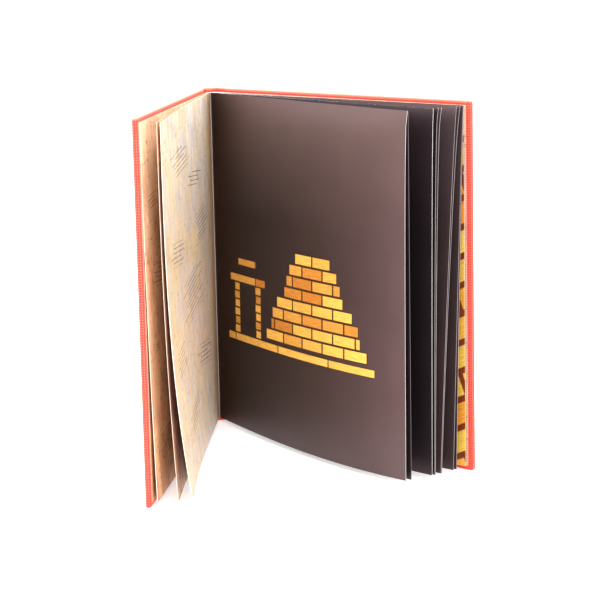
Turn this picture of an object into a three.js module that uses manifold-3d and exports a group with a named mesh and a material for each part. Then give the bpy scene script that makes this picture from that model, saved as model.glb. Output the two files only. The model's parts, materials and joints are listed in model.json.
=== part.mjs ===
// Case-bound booklet standing on its tail edge, open in a V with its leaves fanned.
// Millimetres, +Z up. The spine is at +Y, the opening faces -Y, the front cover is at -X.
// While it is built, y = 0 is the plane of the two hinge lines and x = 0 the middle of the spine.

import * as THREE from 'three';
import { mergeVertices } from 'three/addons/utils/BufferGeometryUtils.js';
import Module from 'manifold-3d';

const wasm = await Module();
wasm.setup();

// Covers: cloth over greyboard, joined to the spine by a strip of bare cloth.
const COVER_HEIGHT = 240;
const COVER_REACH = 227; // hinge line to fore-edge
const BOARD_THICKNESS = 3;
const BOARD_EDGE_ROUND = 0.5;
const BOARD_CORNER_RADIUS = 2;
const CLOTH_THICKNESS = 0.8;
const JOINT_WIDTH = 8; // bare cloth between the hinge line and the board
const GROOVE_DEPTH = 0.8; // the bare cloth lies this far below the boards and the spine
const SPINE_THICKNESS = 1.6;
const HINGE_CLEARANCE = 0.6; // spine strip back from the hinge line, so the joint can turn
const JOINT_START = 0.3; // joint cloth begins this far from the hinge line
const HALF_OPENING = 27.4; // degrees between each cover and the middle plane

// Leaves and endpapers.
const SQUARE = 3; // how far the covers stand past the leaves
const TURN_IN = 3.5; // cloth left showing round a pastedown
const LEAF_LENGTH = 223;
const LEAF_THICKNESS = 0.3;
const LEAF_SPACING = 0.38; // from leaf to leaf where they are glued
const BLOCK_DEPTH = 1.8; // glued strip that joins the leaves
const HOLLOW = 1.2; // air between the spine strip and the glued strip
const SHEET_THICKNESS = 0.3; // endpaper
const CLEARANCE = 0.3; // between pieces that lie on each other

// How far the free edge of each flyleaf stands off its pastedown, at the tail and at the head.
const FRONT_FLYLEAF_LIFT = { foot: 3.3, head: 0.5, twist: 2 };
const BACK_FLYLEAF_LIFT = { foot: 1.9, head: 1.2, twist: 1 };

// Each leaf stands at a share of its cover's angle and bends by some degrees from root to edge.
// Going down, the head's shape turns into the foot's: evenly at twist 1, low down above 1, high up
// below 1. The first two leaves lean to the front cover, the rest to the back cover.
const LEAVES = [
  { foot: { share: -0.863, bend: 4 }, head: { share: -0.917, bend: 1 }, twist: 2.6 },
  { foot: { share: -0.782, bend: 5.5 }, head: { share: -0.9, bend: 2 }, twist: 3 },
  { foot: { share: 0.538, bend: 19 }, head: { share: 0.576, bend: 5 }, twist: 0.4 },
  { foot: { share: 0.5735, bend: 17 }, head: { share: 0.577, bend: 4 }, twist: 1 },
  { foot: { share: 0.728, bend: 9 }, head: { share: 0.7665, bend: 3 }, twist: 0.6 },
  { foot: { share: 0.744, bend: 8 }, head: { share: 0.801, bend: 3 }, twist: 0.51 },
  { foot: { share: 0.746, bend: 8 }, head: { share: 0.824, bend: 3 }, twist: 0.5 },
  { foot: { share: 0.785, bend: 6 }, head: { share: 0.95, bend: 2 }, twist: 0.84 },
  { foot: { share: 0.787, bend: 6 }, head: { share: 0.978, bend: 2 }, twist: 0.75 },
  { foot: { share: 0.885, bend: 3 }, head: { share: 1.001, bend: 1 }, twist: 0.9 },
  { foot: { share: 0.908, bend: 2 }, head: { share: 1.002, bend: 1 }, twist: 0.8 },
];
const LEAF_STEPS = 12; // straight pieces along a leaf
const SHEET_ROWS = 8; // bands up a leaf, so that a twisted one stays smooth
const FOLD_STEPS = 6; // pieces round an endpaper's fold

// Worked out from the sizes above.
const OPENING = THREE.MathUtils.degToRad(HALF_OPENING);
const LEAF_FOOT = SQUARE;
const LEAF_HEAD = COVER_HEIGHT - SQUARE;
const HALF_BLOCK = (LEAVES.length * LEAF_SPACING) / 2;
const BOARD_OUTER = CLOTH_THICKNESS / 2 + GROOVE_DEPTH; // hinge line to the board's outer face
const BOARD_INNER = BOARD_THICKNESS - BOARD_OUTER; // hinge line to the board's inner face
const HALF_SPINE = HALF_BLOCK + 2 * SHEET_THICKNESS + 3 * CLEARANCE + BOARD_INNER;
const SPINE_INNER = BOARD_OUTER - SPINE_THICKNESS;
const BLOCK_BACK = SPINE_INNER - HOLLOW;
const PASTEDOWN_INNER = BOARD_INNER + CLEARANCE + SHEET_THICKNESS / 2;

function finish(color, roughness) {
  return new THREE.MeshStandardMaterial({ color, roughness, metalness: 0 });
}
const coverCloth = () => finish(0xf2604c, 0.85);
const darkPage = () => finish(0x3a2f30, 0.45);
const endpaper = () => finish(0xe8d2b0, 0.7);

function toSolid(geometry) {
  const bare = new THREE.BufferGeometry();
  bare.setAttribute('position', geometry.getAttribute('position'));
  bare.setIndex(geometry.getIndex());
  const merged = mergeVertices(bare, 1e-5);
  const vertProperties = new Float32Array(merged.getAttribute('position').array);
  const triVerts = new Uint32Array(merged.getIndex().array);
  return new wasm.Manifold(new wasm.Mesh({ numProp: 3, vertProperties, triVerts }));
}

function joined(geometries) {
  const [first, ...rest] = geometries.map(toSolid);
  const mesh = rest.reduce((sum, solid) => sum.add(solid), first).getMesh();
  const result = new THREE.BufferGeometry();
  result.setAttribute('position', new THREE.BufferAttribute(new Float32Array(mesh.vertProperties), 3));
  result.setIndex([...mesh.triVerts]);
  result.computeVertexNormals();
  return result;
}

// The same piece on the other side of the booklet, with its faces still pointing out.
function mirroredInX(geometry) {
  const result = geometry.clone().scale(-1, 1, 1);
  const corners = [...result.getIndex().array];
  for (let i = 0; i < corners.length; i += 3) {
    [corners[i + 1], corners[i + 2]] = [corners[i + 2], corners[i + 1]];
  }
  result.setIndex(corners);
  result.computeVertexNormals();
  return result;
}

// The back cover in its own frame: hinge line at the origin, fore-edge to -Y, inner face to -X.
function coverGeometry() {
  const near = JOINT_WIDTH;
  const far = COVER_REACH;
  const top = COVER_HEIGHT;
  const r = BOARD_CORNER_RADIUS;
  const outline = new THREE.Shape();
  outline.moveTo(near, 0);
  outline.lineTo(far - r, 0);
  outline.absarc(far - r, r, r, -Math.PI / 2, 0, false);
  outline.lineTo(far, top - r);
  outline.absarc(far - r, top - r, r, 0, Math.PI / 2, false);
  outline.lineTo(near, top);
  outline.closePath();
  const board = new THREE.ExtrudeGeometry(outline, {
    depth: BOARD_THICKNESS - 2 * BOARD_EDGE_ROUND,
    bevelThickness: BOARD_EDGE_ROUND,
    bevelSize: BOARD_EDGE_ROUND,
    bevelOffset: -BOARD_EDGE_ROUND,
    bevelSegments: 2,
    curveSegments: 4,
  });
  // The outline lies along -Y and +Z, and the thickness runs inwards to -X.
  const turn = new THREE.Matrix4().makeBasis(
    new THREE.Vector3(0, -1, 0),
    new THREE.Vector3(0, 0, 1),
    new THREE.Vector3(-1, 0, 0),
  );
  board.applyMatrix4(turn);
  board.translate(BOARD_OUTER - BOARD_EDGE_ROUND, 0, 0);

  const jointOverlap = 2 * BOARD_EDGE_ROUND; // the joint cloth runs on into the board
  const jointLength = JOINT_WIDTH - JOINT_START + jointOverlap;
  const jointHeight = COVER_HEIGHT - 2 * BOARD_EDGE_ROUND;
  const joint = new THREE.BoxGeometry(CLOTH_THICKNESS, jointLength, jointHeight);
  joint.translate(0, -JOINT_START - jointLength / 2, COVER_HEIGHT / 2);
  return joined([joint, board]);
}

function spineGeometry() {
  const width = 2 * (HALF_SPINE - HINGE_CLEARANCE);
  const strip = new THREE.BoxGeometry(width, SPINE_THICKNESS, COVER_HEIGHT);
  strip.translate(0, SPINE_INNER + SPINE_THICKNESS / 2, COVER_HEIGHT / 2);
  return strip;
}

// A leaf seen from above. Headings are 0 along -Y and positive to +X. The leaf bends more and more
// towards its fore-edge, and its mean heading is the chord.
function leafPath(start, chord, bendDegrees) {
  const bend = THREE.MathUtils.degToRad(bendDegrees);
  const points = [start.clone()];
  for (let i = 0; i < LEAF_STEPS; i += 1) {
    const along = (i + 0.5) / LEAF_STEPS;
    const heading = chord + bend * (along * along - 1 / 3);
    const step = new THREE.Vector2(Math.sin(heading), -Math.cos(heading));
    points.push(points[i].clone().addScaledVector(step, LEAF_LENGTH / LEAF_STEPS));
  }
  return points;
}

// Both sides of a line drawn with some thickness.
function thickened(path, thickness) {
  return path.map((point, i) => {
    const before = path[Math.max(i - 1, 0)];
    const after = path[Math.min(i + 1, path.length - 1)];
    const along = after.clone().sub(before).normalize();
    const out = new THREE.Vector2(-along.y, along.x).multiplyScalar(thickness / 2);
    return [point.clone().add(out), point.clone().sub(out)];
  });
}

// A sheet of paper standing on its edge, between one line at its foot and one at its head.
function sheetGeometry(footPath, headPath, thickness, twist) {
  const foot = thickened(footPath, thickness);
  const head = thickened(headPath, thickness);
  const columns = foot.length;
  const positions = [];
  for (let row = 0; row <= SHEET_ROWS; row += 1) {
    const rise = row / SHEET_ROWS;
    const headShare = 1 - (1 - rise) ** twist;
    for (let column = 0; column < columns; column += 1) {
      for (const side of [0, 1]) {
        const plan = foot[column][side].clone().lerp(head[column][side], headShare);
        positions.push(plan.x, plan.y, LEAF_FOOT + rise * (LEAF_HEAD - LEAF_FOOT));
      }
    }
  }
  const at = (row, column, side) => (row * columns + column) * 2 + side;
  const triangles = [];
  const quad = (a, b, c, d) => triangles.push(a, b, c, a, c, d);
  for (let row = 0; row < SHEET_ROWS; row += 1) {
    for (let column = 0; column < columns - 1; column += 1) {
      quad(at(row, column, 0), at(row + 1, column, 0), at(row + 1, column + 1, 0), at(row, column + 1, 0));
      quad(at(row, column, 1), at(row, column + 1, 1), at(row + 1, column + 1, 1), at(row + 1, column, 1));
    }
    const last = columns - 1;
    quad(at(row, 0, 0), at(row, 0, 1), at(row + 1, 0, 1), at(row + 1, 0, 0));
    quad(at(row, last, 0), at(row + 1, last, 0), at(row + 1, last, 1), at(row, last, 1));
  }
  for (let column = 0; column < columns - 1; column += 1) {
    quad(at(0, column, 0), at(0, column + 1, 0), at(0, column + 1, 1), at(0, column, 1));
    const top = SHEET_ROWS;
    quad(at(top, column, 0), at(top, column, 1), at(top, column + 1, 1), at(top, column + 1, 0));
  }
  const sheet = new THREE.BufferGeometry();
  sheet.setAttribute('position', new THREE.Float32BufferAttribute(positions, 3));
  sheet.setIndex(triangles);
  sheet.computeVertexNormals();
  return sheet;
}

function pagesGeometry() {
  const gluedStrip = new THREE.BoxGeometry(2 * HALF_BLOCK, BLOCK_DEPTH, LEAF_HEAD - LEAF_FOOT);
  gluedStrip.translate(0, BLOCK_BACK - BLOCK_DEPTH / 2, (LEAF_FOOT + LEAF_HEAD) / 2);
  const leaves = LEAVES.map((leaf, i) => {
    const rootX = (i + 0.5) * LEAF_SPACING - HALF_BLOCK;
    const root = new THREE.Vector2(rootX, BLOCK_BACK - BLOCK_DEPTH / 2);
    const foot = leafPath(root, leaf.foot.share * OPENING, leaf.foot.bend);
    const head = leafPath(root, leaf.head.share * OPENING, leaf.head.bend);
    return sheetGeometry(foot, head, LEAF_THICKNESS, leaf.twist);
  });
  return joined([gluedStrip, ...leaves]);
}

// One folded sheet, in the back cover's own frame: pasted to the board, turned at the gutter
// and standing free as the flyleaf.
function endpaperGeometry(lift) {
  const foldPoint = new THREE.Vector2(HALF_BLOCK + CLEARANCE + SHEET_THICKNESS / 2, BLOCK_BACK);
  const flyleafRoot = foldPoint.sub(new THREE.Vector2(HALF_SPINE, 0));
  flyleafRoot.rotateAround(new THREE.Vector2(), -OPENING);
  const pastedownX = -PASTEDOWN_INNER;
  const foldWidth = pastedownX - flyleafRoot.x;
  const pastedownEdge = new THREE.Vector2(pastedownX, TURN_IN - COVER_REACH);
  const foldCentre = new THREE.Vector2((pastedownX + flyleafRoot.x) / 2, flyleafRoot.y);
  const linePath = (standOff) => {
    const points = [pastedownEdge.clone()];
    for (let i = 0; i <= FOLD_STEPS; i += 1) {
      const angle = (Math.PI * i) / FOLD_STEPS;
      const offset = new THREE.Vector2(Math.cos(angle), Math.sin(angle)).multiplyScalar(foldWidth / 2);
      points.push(foldCentre.clone().add(offset));
    }
    const chord = -Math.asin((standOff - foldWidth) / LEAF_LENGTH);
    return points.concat(leafPath(flyleafRoot, chord, 0).slice(1));
  };
  return sheetGeometry(linePath(lift.foot), linePath(lift.head), SHEET_THICKNESS, lift.twist);
}

function piece(name, geometry, material) {
  const mesh = new THREE.Mesh(geometry, material);
  mesh.name = name;
  return mesh;
}

const frontCover = new THREE.Group();
frontCover.position.set(-HALF_SPINE, 0, 0);
frontCover.rotation.z = -OPENING;
frontCover.add(piece('front_cover', mirroredInX(coverGeometry()), coverCloth()));
frontCover.add(piece('front_endpaper', mirroredInX(endpaperGeometry(FRONT_FLYLEAF_LIFT)), endpaper()));

const backCover = new THREE.Group();
backCover.position.set(HALF_SPINE, 0, 0);
backCover.rotation.z = OPENING;
backCover.add(piece('back_cover', coverGeometry(), coverCloth()));
backCover.add(piece('back_endpaper', endpaperGeometry(BACK_FLYLEAF_LIFT), endpaper()));

const booklet = new THREE.Group();
booklet.add(piece('spine', spineGeometry(), coverCloth()));
booklet.add(piece('pages', pagesGeometry(), darkPage()));
booklet.add(frontCover, backCover);

// The origin lies on the ground under the middle of the whole booklet.
booklet.updateMatrixWorld(true);
const middle = new THREE.Box3().setFromObject(booklet, true).getCenter(new THREE.Vector3());
booklet.position.set(-middle.x, -middle.y, 0);

const model = new THREE.Group();
model.add(booklet);

export default model;
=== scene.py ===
import json
import math

import bmesh
import bpy
import numpy as np
from mathutils import Matrix, Vector


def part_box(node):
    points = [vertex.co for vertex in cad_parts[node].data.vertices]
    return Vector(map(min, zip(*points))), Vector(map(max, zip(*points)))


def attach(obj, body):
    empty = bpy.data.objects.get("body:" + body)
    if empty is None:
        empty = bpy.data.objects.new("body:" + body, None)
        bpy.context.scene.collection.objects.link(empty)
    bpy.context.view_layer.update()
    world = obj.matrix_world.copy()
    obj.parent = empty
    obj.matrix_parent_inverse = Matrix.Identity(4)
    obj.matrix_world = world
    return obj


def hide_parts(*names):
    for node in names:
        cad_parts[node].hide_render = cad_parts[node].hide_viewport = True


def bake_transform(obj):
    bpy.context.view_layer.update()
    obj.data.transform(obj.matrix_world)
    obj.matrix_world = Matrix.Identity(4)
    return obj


# A case-bound picture booklet standing on its tail edge, open in a V with its leaves fanned.
# Metres, +Z up. The spine is at +Y, the opening faces -Y and the front cover is at -X.
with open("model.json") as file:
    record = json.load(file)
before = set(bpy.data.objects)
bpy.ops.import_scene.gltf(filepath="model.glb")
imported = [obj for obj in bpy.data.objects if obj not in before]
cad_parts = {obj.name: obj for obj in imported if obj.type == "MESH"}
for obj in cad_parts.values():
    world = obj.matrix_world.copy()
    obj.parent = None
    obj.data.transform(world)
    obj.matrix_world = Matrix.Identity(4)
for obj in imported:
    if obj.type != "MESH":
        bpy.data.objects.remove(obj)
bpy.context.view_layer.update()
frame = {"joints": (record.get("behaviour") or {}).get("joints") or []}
scene = bpy.context.scene
MM = 0.001

# The frame's own sizes.
hinges = {joint["child"]: joint for joint in frame["joints"]}
HINGE_X, HINGE_Y, _ = hinges["back_cover"]["pos_m"]
HALF_OPENING = math.radians(-hinges["back_cover"]["range_deg"][0])
COVER_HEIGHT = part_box("spine")[1].z
LEAF_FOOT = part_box("pages")[0].z
LEAF_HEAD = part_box("pages")[1].z

# Covers, as in the solids.
COVER_REACH = 227 * MM  # hinge line to fore-edge
BOARD_OUTER = 1.2 * MM  # hinge line to the board's outer face
BOARD_INNER = 1.8 * MM  # hinge line to the board's inner face
JOINT_WIDTH = 8 * MM  # bare cloth between the hinge line and the board
CLOTH_THICKNESS = 0.8 * MM
SPINE_THICKNESS = 1.6 * MM
SPINE_BACK_FROM_HINGE = 0.6 * MM
SPINE_EDGE_ROUND = 0.6 * MM
SPINE_CORNER_RADIUS = 0.81 * MM
BOARD_EDGE_ROUND = 0.8 * MM
BOARD_CORNER_RADIUS = 2 * MM
TURN_IN_WIDTH = 15 * MM  # cloth folded over onto the inside of a board
TURN_IN_THICKNESS = 0.25 * MM
TURN_IN_SUNK = 0.05 * MM  # its back lies this deep in the board, so that no gap shows
MITRE_GAP = 0.25 * MM

# Endpapers and leaves, as in the solids.
TURN_IN_SHOWN = 3.5 * MM  # cloth left showing round a pastedown
PASTEDOWN_INNER = 2.25 * MM  # hinge line to the middle of the pastedown
LEAF_LENGTH = 223 * MM
LEAF_THICKNESS = 0.3 * MM
LEAF_SPACING = 0.38 * MM  # from leaf to leaf where they are glued
BLOCK_DEPTH = 1.8 * MM  # glued strip that joins the leaves
BLOCK_EDGE_ROUND = 0.15 * MM
BLOCK_CORNER_RADIUS = 0.2 * MM
HOLLOW = 1.2 * MM  # air between the spine strip and the glued strip
SHEET_GAP = 0.3 * MM  # between the flyleaf's root and the glued strip
# How far a flyleaf's free edge stands off its pastedown at the tail and at the head, and its twist.
FLYLEAF_LIFT = {"front": (3.3 * MM, 0.5 * MM, 2), "back": (1.9 * MM, 1.2 * MM, 1)}

# Each leaf stands at a share of its cover's angle and bends by some degrees from root to edge:
# (share, bend) at the tail, then at the head. Going down, the head's shape turns into the tail's:
# evenly at twist 1, low down above 1, high up below 1. The first two lean to the front cover.
LEAVES = [
    ((-0.863, 4), (-0.917, 1), 2.6),
    ((-0.782, 5.5), (-0.9, 2), 3),
    ((0.538, 19), (0.576, 5), 0.4),
    ((0.5735, 17), (0.577, 4), 1),
    ((0.728, 9), (0.7665, 3), 0.6),
    ((0.744, 8), (0.801, 3), 0.51),
    ((0.746, 8), (0.824, 3), 0.5),
    ((0.785, 6), (0.95, 2), 0.84),
    ((0.787, 6), (0.978, 2), 0.75),
    ((0.885, 3), (1.001, 1), 0.9),
    ((0.908, 2), (1.002, 1), 0.8),
]
LEFT_LEAVES = 2
LEAF_COLUMNS = 64
LEAF_ROWS = 24
GUTTER_COLUMNS = 4  # columns of a leaf at the gutter, made as a strip of their own

# Worked out from the sizes above.
HALF_BLOCK = len(LEAVES) * LEAF_SPACING / 2
SPINE_INNER = BOARD_OUTER - SPINE_THICKNESS
BLOCK_BACK = SPINE_INNER - HOLLOW
SIDES = {"front": -1, "back": 1}


def linear(hex_colour):
    """A colour picked as sRGB hex, as the linear RGBA that Blender's sockets take."""
    values = [int(hex_colour[i : i + 2], 16) / 255 for i in (1, 3, 5)]
    return (*[v / 12.92 if v <= 0.04045 else ((v + 0.055) / 1.055) ** 2.4 for v in values], 1)


def add(tree, kind, inputs=None, **settings):
    """Adds a node, sets its properties, and fills its inputs with values, nodes or sockets."""
    node = tree.nodes.new(kind)
    for name, value in settings.items():
        setattr(node, name, value)
    for key, value in (inputs or {}).items():
        if isinstance(value, bpy.types.Node):
            value = value.outputs[0]
        if isinstance(value, bpy.types.NodeSocket):
            tree.links.new(value, node.inputs[key])
        else:
            node.inputs[key].default_value = value
    return node


# Camera: it stands in front, a little to the left, and looks down by ten degrees.
CAMERA_PLACE = Vector((-0.42103, -1.27420, 0.34840))
CAMERA_TURN = math.radians(19.2974)
CAMERA_DOWN = math.radians(10.2602)
CAMERA_ROLL = math.radians(-1.2641)
CAMERA_LENS = 123.005  # millimetres
CAMERA_SENSOR = 36  # millimetres
FLOOR_REACH = 12  # metres from the booklet to each edge of the floor


def make_camera():
    camera = bpy.data.objects.new("camera", bpy.data.cameras.new("camera"))
    scene.collection.objects.link(camera)
    camera.data.sensor_width = CAMERA_SENSOR
    camera.data.lens = CAMERA_LENS
    camera.data.clip_start = 0.05
    forward = Vector((
        math.sin(CAMERA_TURN) * math.cos(CAMERA_DOWN),
        math.cos(CAMERA_TURN) * math.cos(CAMERA_DOWN),
        -math.sin(CAMERA_DOWN),
    ))
    level = Vector((math.cos(CAMERA_TURN), -math.sin(CAMERA_TURN), 0))
    upright = level.cross(forward)
    right = level * math.cos(CAMERA_ROLL) + upright * math.sin(CAMERA_ROLL)
    up = upright * math.cos(CAMERA_ROLL) - level * math.sin(CAMERA_ROLL)
    facing = Matrix((right, up, -forward)).transposed().to_4x4()
    camera.matrix_world = Matrix.Translation(CAMERA_PLACE) @ facing
    scene.camera = camera


def softbox(name, place, size, power):
    """A white lamp with a rectangular face, aimed at the middle of the booklet."""
    light = bpy.data.lights.new(name, "AREA")
    light.shape = "RECTANGLE"
    light.size, light.size_y = size
    light.energy = power
    lamp = bpy.data.objects.new(name, light)
    scene.collection.objects.link(lamp)
    lamp.location = place
    aim = Vector((0, 0, COVER_HEIGHT / 2)) - Vector(place)
    lamp.rotation_euler = aim.to_track_quat("-Z", "Y").to_euler()


def make_studio():
    """A white tent with four softboxes, and a sweep of white paper lit up to pure white."""
    world = bpy.data.worlds.new("white tent")
    scene.world = world
    world.use_nodes = True
    world.node_tree.nodes["Background"].inputs["Color"].default_value = linear("#ffffff")
    world.node_tree.nodes["Background"].inputs["Strength"].default_value = 1.0
    scene.view_settings.view_transform = "Standard"
    softbox("overhead softbox", (0, 0.1, 1.8), (2.2, 2.2), 60)
    softbox("left softbox", (-1.5, 0.2, 0.7), (1.6, 1.6), 26)
    softbox("right softbox", (1.6, -1.0, 0.6), (1.2, 1.4), 10)
    softbox("front softbox", (-0.12, -1.8, 0.5), (1.6, 0.9), 17)

    floor_mesh = bpy.data.meshes.new("floor")
    corners = [(x * FLOOR_REACH, y * FLOOR_REACH, 0) for x, y in ((-1, -1), (1, -1), (1, 1), (-1, 1))]
    floor_mesh.from_pydata(corners, [], [(0, 1, 2, 3)])
    floor = bpy.data.objects.new("floor", floor_mesh)
    scene.collection.objects.link(floor)
    paper = bpy.data.materials.new("white paper sweep")
    paper.use_nodes = True
    surface = paper.node_tree.nodes["Principled BSDF"]
    surface.inputs["Base Color"].default_value = linear("#f6f5f4")
    surface.inputs["Roughness"].default_value = 0.9
    surface.inputs["Specular IOR Level"].default_value = 0.1
    surface.inputs["Emission Color"].default_value = linear("#ffffff")
    surface.inputs["Emission Strength"].default_value = 0.5
    floor_mesh.materials.append(paper)


make_camera()
make_studio()


def new_material(name):
    """A material with nothing but its output and one Principled shader."""
    material = bpy.data.materials.new(name)
    material.use_nodes = True
    tree = material.node_tree
    return material, tree, tree.nodes["Principled BSDF"]


# The Mix node's sockets share their names, so they are reached by their place in the list.
MIX_FACTOR = 0
MIX_A, MIX_B, MIX_COLOUR = 6, 7, 2
MIX_VECTOR_A, MIX_VECTOR_B, MIX_VECTOR = 4, 5, 1


def mixed(tree, factor, first, second, blend_type="MIX"):
    """The colour that a factor mixes of two others."""
    inputs = {MIX_FACTOR: factor, MIX_A: first, MIX_B: second}
    node = add(tree, "ShaderNodeMix", inputs, data_type="RGBA", blend_type=blend_type)
    return node.outputs[MIX_COLOUR]


def sheet_coordinates(tree):
    """Metres from the gutter and metres from the tail, from the piece's own UV map."""
    uv = add(tree, "ShaderNodeUVMap", uv_map="UVMap")
    split = add(tree, "ShaderNodeSeparateXYZ", {"Vector": uv})
    return uv, split.outputs["X"], split.outputs["Y"]


# Buckram is cotton cloth filled with coloured starch: a dull coral, with the tops of its threads
# rubbed paler, and painted pale at the head of a board as a highlight of the light from above. The
# real threads are 0.4 mm apart. They are drawn 1.7 mm apart, or none would show.
THREAD_PITCH = 1.7 * MM
THREAD_RELIEF = 0.15 * MM
WEAVE_CONTRAST = 0.7
SLUB_SIZE = 3 * MM  # the threads grow thicker and thinner over this distance
HEAD_HIGHLIGHT_BAND = 1.5 * MM  # cloth this near the head is painted pale, a painted highlight of the light from above


def make_cover_cloth():
    material, tree, surface = new_material("coral buckram book cloth")
    uv, along, rise = sheet_coordinates(tree)
    waves = []
    for distance in (along, rise):
        turns = add(tree, "ShaderNodeMath", {0: distance, 1: 2 * math.pi / THREAD_PITCH},
                    operation="MULTIPLY")
        waves.append(add(tree, "ShaderNodeMath", {0: turns}, operation="SINE"))
    crossed = add(tree, "ShaderNodeMath", {0: waves[0], 1: waves[1]})
    weave = add(tree, "ShaderNodeMath", {0: crossed, 1: WEAVE_CONTRAST}, operation="MULTIPLY")
    slub = add(tree, "ShaderNodeTexNoise", {"Vector": uv, "Scale": 1 / SLUB_SIZE, "Detail": 4.0})
    rub = add(tree, "ShaderNodeMath", {0: weave, 1: slub.outputs["Fac"]}, operation="MULTIPLY")
    rubbed = add(tree, "ShaderNodeMapRange", {
        "Value": rub, "From Min": 0.05, "From Max": 0.45, "To Max": 0.34})
    sunk = add(tree, "ShaderNodeMapRange", {
        "Value": rub, "From Min": -0.05, "From Max": -0.45, "To Max": 0.45})
    ground = mixed(tree, slub.outputs["Fac"], linear("#da3424"), linear("#ea4634"))
    lit = mixed(tree, rubbed, ground, linear("#ff9480"))
    woven = mixed(tree, sunk, lit, linear("#b41c12"))
    place = add(tree, "ShaderNodeTexCoord")
    height = add(tree, "ShaderNodeSeparateXYZ", {"Vector": place.outputs["Object"]})
    # Painted highlight: the cloth is painted paler towards the head, where the light from above falls on it.
    wear_and_head_light = add(tree, "ShaderNodeMapRange", {
        "Value": height.outputs["Z"], "From Min": COVER_HEIGHT - HEAD_HIGHLIGHT_BAND, "From Max": COVER_HEIGHT,
        "To Max": 0.85})
    colour = mixed(tree, wear_and_head_light, woven, linear("#ffb49c"))
    relief = add(tree, "ShaderNodeBump", {"Height": weave, "Strength": 0.6, "Distance": THREAD_RELIEF})
    tree.links.new(colour, surface.inputs["Base Color"])
    tree.links.new(relief.outputs["Normal"], surface.inputs["Normal"])
    surface.inputs["Roughness"].default_value = 0.8
    surface.inputs["Sheen Weight"].default_value = 0.1
    return material


STROKE_SHIFT = 0.25  # a stroke is moved along by up to this share of its length
STROKE_HALF_WIDTH = 0.1  # as a share of the pitch between two strokes


def strokes(tree, uv, place, angle, length, rows, pitch, seed):
    """A patch of pen strokes, rows of them side by side and ragged at their ends: 1 on the ink."""
    shifted = add(tree, "ShaderNodeVectorMath", {0: uv, 1: (*place, 0)}, operation="SUBTRACT")
    turned = add(tree, "ShaderNodeVectorRotate", {"Vector": shifted, "Angle": -angle},
                 rotation_type="Z_AXIS")
    part = add(tree, "ShaderNodeSeparateXYZ", {"Vector": turned})
    counted = add(tree, "ShaderNodeMath", {0: part.outputs["Y"], 1: pitch}, operation="DIVIDE")
    row = add(tree, "ShaderNodeMath", {0: counted}, operation="FLOOR")
    ragged = add(tree, "ShaderNodeTexWhiteNoise", {"W": add(tree, "ShaderNodeMath", {0: row, 1: seed})},
                 noise_dimensions="1D")
    most = STROKE_SHIFT * length
    shift = add(tree, "ShaderNodeMath", {0: ragged, 1: 2 * most, 2: -most}, operation="MULTIPLY_ADD")
    on_row = add(tree, "ShaderNodeMath", {0: counted}, operation="FRACT")
    masks = [
        add(tree, "ShaderNodeMath", {0: part.outputs["X"], 1: shift, 2: length / 2}, operation="COMPARE"),
        add(tree, "ShaderNodeMath", {0: on_row, 1: 0.5, 2: STROKE_HALF_WIDTH}, operation="COMPARE"),
        add(tree, "ShaderNodeMath", {0: counted, 1: 0.0, 2: rows / 2}, operation="COMPARE"),
    ]
    drawn = add(tree, "ShaderNodeMath", {0: masks[0], 1: masks[1]}, operation="MULTIPLY")
    return add(tree, "ShaderNodeMath", {0: drawn, 1: masks[2]}, operation="MULTIPLY")


# Pen strokes of a generic working sketch: (along, rise), angle in degrees, length, rows and pitch, in
# millimetres.
LEAF_SKETCH = [
    ((150, 202), -4, 50, 6, 3.0),
    ((84, 184), 5, 40, 4, 2.8),
    ((60, 150), -5, 40, 7, 3.0),
    ((170, 146), 4, 44, 5, 3.0),
    ((112, 110), -5, 64, 9, 3.2),
    ((176, 80), -4, 34, 6, 3.0),
    ((70, 62), 6, 50, 5, 3.0),
    ((140, 34), -5, 52, 5, 3.2),
]
ENDPAPER_SKETCH = [
    ((198, 184), -5, 20, 4, 2.6),
    ((182, 136), 5, 26, 5, 2.8),
    ((204, 92), -4, 18, 3, 2.6),
    ((184, 30), -5, 30, 6, 3.0),
]


# The layers printed on parchment: the width and height of their blots in millimetres, a seed, the
# noise where a layer starts and where it is full, and the least and most of it.
PARCHMENT_LAYERS = {
    "warm": ((26, 60), 0.0, (0.38, 0.62), (0.0, 1.0)),
    "stain": ((14, 38), 3.7, (0.48, 0.62), (0.0, 0.7)),
    "veil": ((11, 30), 8.1, (0.48, 0.62), (0.0, 0.6)),
    "streak": ((5, 14), 5.3, (0.3, 0.7), (0.86, 1.1)),
    "fleck": ((5, 3.5), 1.9, (0.59, 0.67), (0.0, 0.5)),
}
PARCHMENT_SLANT = math.radians(8)  # the blots lean by this much
HEIGHT_SHARE = 0.85  # the most that the tones of the middle and the tail cover
BROWNED_BELOW = (234 * MM, 205 * MM)  # the gutter is browned fully from the second height down
SHADED_OUTWARD = (100 * MM, 212 * MM)
PEN_INK = "#4a3020"
PAPER_FIBRE = 1.2 * MM
PAPER_RELIEF = 0.05 * MM


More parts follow.
